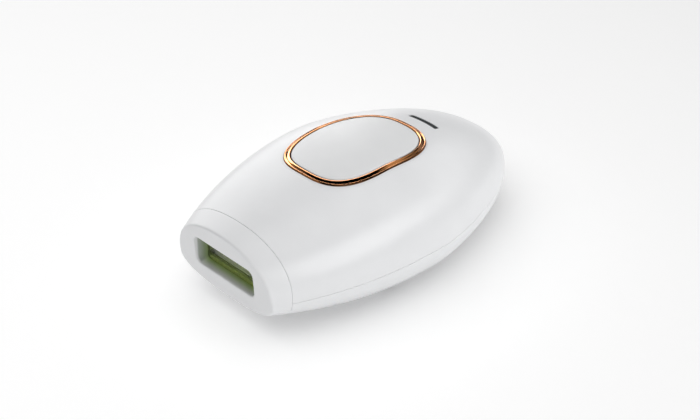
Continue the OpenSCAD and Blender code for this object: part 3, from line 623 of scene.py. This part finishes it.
def nozzle_material():
    """White plastic with painted light on the window walls: a painted green glow towards the filter, and
    painted shade on the side walls.
    """
    white = (0.74, 0.745, 0.755)
    made = moulded("nozzle_gloss", white, 0.36)
    tree = made.node_tree
    shader = tree.nodes["Principled BSDF"]
    plain = shader.inputs["Base Color"].links[0].from_socket
    place = node(tree, "ShaderNodeTexCoord")
    axes = node(tree, "ShaderNodeSeparateXYZ", {0: place.outputs["Object"]})
    x, y, z = (axes.outputs[k] for k in "XYZ")
    wide = within(tree, x, 0.0, (WINDOW_W / 2 + 0.05) * MM)
    tall = within(tree, z, WINDOW_Z * MM, (WINDOW_H / 2 + 0.05) * MM)
    opening = node(tree, "ShaderNodeMath", {0: wide, 1: tall}, operation="MULTIPLY").outputs[0]

    def ramp(value, start, end, low, high):
        inputs = {"Value": value, "From Min": start, "From Max": end, "To Min": low, "To Max": high}
        return node(tree, "ShaderNodeMapRange", inputs, interpolation_type="SMOOTHSTEP").outputs["Result"]

    # painted light: the recess walls turn green deeper in, in place of green light passing through the
    # filter
    reach = ramp(y, (Y0 + 0.5) * MM, (Y0 + RECESS) * MM, 0.0, 1.0)
    painted_green_spill = node(tree, "ShaderNodeMath", {0: reach, 1: opening}, operation="MULTIPLY").outputs[0]
    green = node(tree, "ShaderNodeMix", {"Factor": painted_green_spill}, data_type="RGBA")
    tree.links.new(plain, green.inputs["A"])
    green.inputs["B"].default_value = (0.34, 0.45, 0.17, 1)
    # painted shade: the side walls of the recess darken past its mouth
    side = node(tree, "ShaderNodeMath", {0: x}, operation="ABSOLUTE").outputs[0]
    shade_x = ramp(side, (WINDOW_W / 2 - 2.4) * MM, (WINDOW_W / 2 - 1.2) * MM, 0.0, 0.6)
    shade_y = ramp(y, (Y0 + 0.2) * MM, (Y0 + 0.9) * MM, 0.0, 1.0)
    shade = node(tree, "ShaderNodeMath", {0: shade_x, 1: shade_y}, operation="MULTIPLY").outputs[0]
    shade = node(tree, "ShaderNodeMath", {0: shade, 1: opening}, operation="MULTIPLY").outputs[0]
    dark = node(tree, "ShaderNodeMix", {"Factor": shade}, data_type="RGBA")
    tree.links.new(green.outputs["Result"], dark.inputs["A"])
    dark.inputs["B"].default_value = (0.12, 0.16, 0.1, 1)
    tree.links.new(dark.outputs["Result"], shader.inputs["Base Color"])
    return made


SHELL_WHITE = moulded("shell_gloss", (0.74, 0.745, 0.755), 0.32)
paint(upper, SHELL_WHITE)
paint(lower, SHELL_WHITE)
paint(head, nozzle_material())
paint(panel, moulded("panel_satin", (0.7, 0.705, 0.71), 0.42))
paint(ring, metal("rose_gold_polish", (0.28, 0.108, 0.028), 0.08, coat=0.2))
paint(lens, moulded("smoked_gloss", (0.06, 0.065, 0.068), 0.15))


def filter_material():
    """Yellow-green filter glass."""
    made, tree, shader = material("filter_green")
    cloud = spread(tree, noise(tree, 5.0), 0.0, 1.0)
    tree.links.new(tint(tree, cloud, (0.72, 0.84, 0.36), (0.78, 0.9, 0.42)), shader.inputs["Base Color"])
    shader.inputs["Roughness"].default_value = 0.03
    shader.inputs["Transmission Weight"].default_value = 1.0
    shader.inputs["IOR"].default_value = 1.5
    return made


def quartz_material():
    made, tree, shader = material("quartz")
    cloud = spread(tree, noise(tree, 3.0), 0.0, 1.0)
    tree.links.new(tint(tree, cloud, (0.88, 0.92, 0.6), (0.95, 0.98, 0.72)), shader.inputs["Base Color"])
    shader.inputs["Roughness"].default_value = 0.08
    shader.inputs["Transmission Weight"].default_value = 0.5
    shader.inputs["IOR"].default_value = 1.46
    return made


paint(plate, filter_material())
plate.visible_shadow = False
frame["nodes"]["flash_lamp"].visible_shadow = False


def board_material():
    """Green solder mask with copper tracks showing through."""
    made, tree, shader = material("solder_mask")
    place = node(tree, "ShaderNodeTexCoord")
    tracks = node(
        tree,
        "ShaderNodeTexBrick",
        {"Vector": place.outputs["Object"], "Scale": 90.0, "Mortar Size": 0.012, "Mortar Smooth": 0.2},
    )
    mask = tint(tree, tracks.outputs["Fac"], (0.015, 0.13, 0.045), (0.05, 0.26, 0.1))
    tree.links.new(mask, shader.inputs["Base Color"])
    tree.links.new(bump(tree, tracks.outputs["Fac"], 0.03), shader.inputs["Normal"])
    shader.inputs["Roughness"].default_value = 0.35
    return made


def winding_material(name, colour, pitch_mm, axis="Z"):
    """Wire wound in even turns."""
    made, tree, shader = material(name)
    place = node(tree, "ShaderNodeTexCoord")
    inputs = {"Vector": place.outputs["Object"], "Scale": 0.5 / (pitch_mm * MM)}
    turns = node(tree, "ShaderNodeTexWave", inputs, bands_direction=axis)
    dark = tuple(c * 0.45 for c in colour)
    tree.links.new(tint(tree, turns.outputs["Fac"], dark, colour), shader.inputs["Base Color"])
    tree.links.new(bump(tree, turns.outputs["Fac"], 0.2), shader.inputs["Normal"])
    shader.inputs["Roughness"].default_value = 0.35
    return made


SLOT_MATERIALS = {
    "dark_plastic": moulded("dark_moulded", (0.035, 0.035, 0.038), 0.5, 0.3, 0.01, 0.08),
    "clear_plastic": moulded("frosted_guide", (0.8, 0.84, 0.86), 0.35),
    "led": moulded("led_package", (0.85, 0.82, 0.6), 0.3),
    "circuit_board": board_material(),
    "component_black": moulded("epoxy_black", (0.03, 0.03, 0.032), 0.45, 0.2, 0.008, 0.1),
    "plunger_cream": moulded("nylon_cream", (0.8, 0.75, 0.6), 0.45),
    "lamp_glass": quartz_material(),
    "seal_rubber": moulded("silicone_seal", (0.26, 0.27, 0.2), 0.6, 0.3, 0.01, 0.05),
    "bright_metal": metal("plated_contact", (0.85, 0.72, 0.42), 0.25),
    "steel": metal("zinc_steel", (0.6, 0.61, 0.63), 0.32, 0.5),
    "reflector_metal": metal("mirror_aluminium", (0.62, 0.63, 0.64), 0.16),
    "lamp_carrier": moulded("heatproof_cream", (0.8, 0.78, 0.7), 0.55, 0.4, 0.01, 0.03),
    "capacitor_sleeve": moulded("shrink_sleeve", (0.03, 0.035, 0.09), 0.28, 1.0, 0.01, 0.08),
    "ferrite": moulded("ferrite_grey", (0.07, 0.07, 0.075), 0.6, 0.2, 0.02, 0.15),
    "coil_winding": winding_material("copper_winding", (0.75, 0.4, 0.12), 0.35),
    "film_red": moulded("dipped_red", (0.5, 0.05, 0.03), 0.25, 1.5, 0.03, 0.06),
    "sink_aluminium": metal("extruded_aluminium", (0.75, 0.76, 0.78), 0.38, 0.4),
    "wire_red": moulded("wire_red_pvc", (0.5, 0.02, 0.02), 0.4),
    "wire_black": moulded("wire_black_pvc", (0.03, 0.03, 0.03), 0.4),
    "wire_white": moulded("wire_white_silicone", (0.8, 0.8, 0.78), 0.45),
}
slot_of = {row["node"]: row["material_slot"] for row in frame["record"]["subparts"]}
for name, carried in frame["nodes"].items():
    if slot_of[name] in SLOT_MATERIALS:
        paint(carried, SLOT_MATERIALS[slot_of[name]])


# ---------------------------------------------------------------- camera, light and floor
# azimuth, elevation, width, height and brightness of what the ring alone reflects
RING_STRIPS = [
    (-114, 30, 46, 18, 13.0),
    (172, 44, 56, 18, 1.5),
    (178, 20, 40, 14, 0.9),
    (70, 30, 60, 8, 1.6),
    (-40, 30, 60, 20, 1.5),
]
# light that the floor gives off, and brightness of its own lamp
FLOOR_GLOW = 0.22
FLOOR_KEY = 1.52


def look_at(thing, target):
    thing.rotation_mode = "QUATERNION"
    thing.rotation_quaternion = (Vector(target) - thing.location).to_track_quat("-Z", "Y")


def camera():
    """The photograph's view: azimuth and elevation in degrees, distance and target in metres."""
    azimuth, elevation, distance = math.radians(46.0), math.radians(33.59), 0.5104
    target = Vector((-0.00646, 0.00087, 0.00925))
    back = Vector(
        (
            math.sin(azimuth) * math.cos(elevation),
            -math.cos(azimuth) * math.cos(elevation),
            math.sin(elevation),
        )
    )
    data = bpy.data.cameras.new("camera")
    data.lens, data.sensor_width = 72.15, 36.0
    data.clip_start, data.clip_end = 0.01, 20.0
    made = bpy.data.objects.new("camera", data)
    bpy.context.scene.collection.objects.link(made)
    made.location = target + back * distance
    look_at(made, target)
    bpy.context.scene.camera = made


def softbox(name, centre, along, facing, width, height, brightness):
    """A rectangular light: along is the direction of its width, and brightness its radiance."""
    along, back = Vector(along).normalized(), -Vector(facing).normalized()
    data = bpy.data.lights.new(name, "AREA")
    data.shape, data.size, data.size_y = "RECTANGLE", width, height
    data.energy = brightness * math.pi * width * height
    made = bpy.data.objects.new(name, data)
    bpy.context.scene.collection.objects.link(made)
    turn = Matrix((along, back.cross(along), back)).transposed()
    made.matrix_world = Matrix.Translation(centre) @ turn.to_4x4()
    return made


def sky_strip(name, azimuth, elevation, wide, tall, brightness, distance=1.1):
    """A softbox seen from the button at an azimuth and elevation, wide and tall in degrees."""
    turn, lift = math.radians(azimuth), math.radians(elevation)
    way = Vector((math.sin(turn) * math.cos(lift), -math.cos(turn) * math.cos(lift), math.sin(lift)))
    along = Vector((math.cos(turn), math.sin(turn), 0))
    width, height = (2 * distance * math.tan(math.radians(d) / 2) for d in (wide, tall))
    return softbox(name, Vector((0, 0, 0.04)) + way * distance, along, -way, width, height, brightness)


def floor():
    reach = 3.0
    corners = np.array([(-1, -1, 0), (1, -1, 0), (1, 1, 0), (-1, 1, 0)]) * reach / MM
    made = add_object("floor", corners, [(0, 1, 2, 3)])
    made.location.z = -0.00005
    look = moulded("floor_white", (0.93, 0.93, 0.93), 0.6, grain_depth=0, vary=0.002, specular=0.1)
    shader = look.node_tree.nodes["Principled BSDF"]
    shader.inputs["Emission Color"].default_value = (1, 1, 1, 1)
    shader.inputs["Emission Strength"].default_value = FLOOR_GLOW
    paint(made, look)
    return made


def link_lights(lamps, targets, state):
    """Lets lamps reach the targets alone (INCLUDE), or everything but the targets (EXCLUDE)."""
    group = bpy.data.collections.new(lamps[0].name + "_receivers")
    for target in targets:
        group.objects.link(target)
    for member in group.collection_objects:
        member.light_linking.link_state = state
    for lamp in lamps:
        lamp.light_linking.receiver_collection = group


def world():
    """A white backdrop that only the camera sees."""
    made = bpy.data.worlds.new("studio")
    bpy.context.scene.world = made
    made.use_nodes = True
    background = made.node_tree.nodes["Background"]
    background.inputs["Color"].default_value = (1, 1, 1, 1)
    background.inputs["Strength"].default_value = 1.0
    seen = made.cycles_visibility
    seen.diffuse = seen.glossy = seen.transmission = False


def lights(ground):
    """Softboxes round the object, and one lamp of its own for the floor's shadow."""
    rise = Vector((0, 0.945, 0.327))
    across = Vector((0, -0.327, 0.945))
    edge = Vector((0.9, 0, 1.12))
    tall = 0.84
    group = [
        softbox("right_near", edge - across * tall / 2, rise, (-1, 0, 0), 1.0, tall, 3.8),
        softbox("right_far", edge + rise - across * tall / 2, rise, (-1, 0, 0), 1.0, tall, 1.6),
        softbox("left", (-0.9, 0.38, 0.5), (0, 1, 0), (1, 0, 0), 1.2, 1.0, 2.6),
        softbox("back", (0.2, 1.2, 0.75), (1, 0, 0), (0, -1, 0), 1.4, 0.5, 1.85),
        softbox("front", (0, -1.0, 0.4), (1, 0, 0), (0, 1, 0), 0.6, 0.6, 3.2),
        softbox("top", (0, 0.25, 1.2), (1, 0, 0), (0, 0, -1), 1.0, 1.0, 1.35),
    ]
    link_lights(group, [ground, ring], "EXCLUDE")
    key = softbox("floor_key", (-0.12, -0.25, 0.8), (0, 1, 0), (0, 0, -1), 1.6, 1.6, FLOOR_KEY)
    link_lights([key], [ground], "INCLUDE")
    strips = [sky_strip("ring_%d" % i, *strip) for i, strip in enumerate(RING_STRIPS)]
    link_lights(strips, [ring], "INCLUDE")


camera()
lights(floor())
world()
bpy.context.scene.view_settings.view_transform = "Standard"
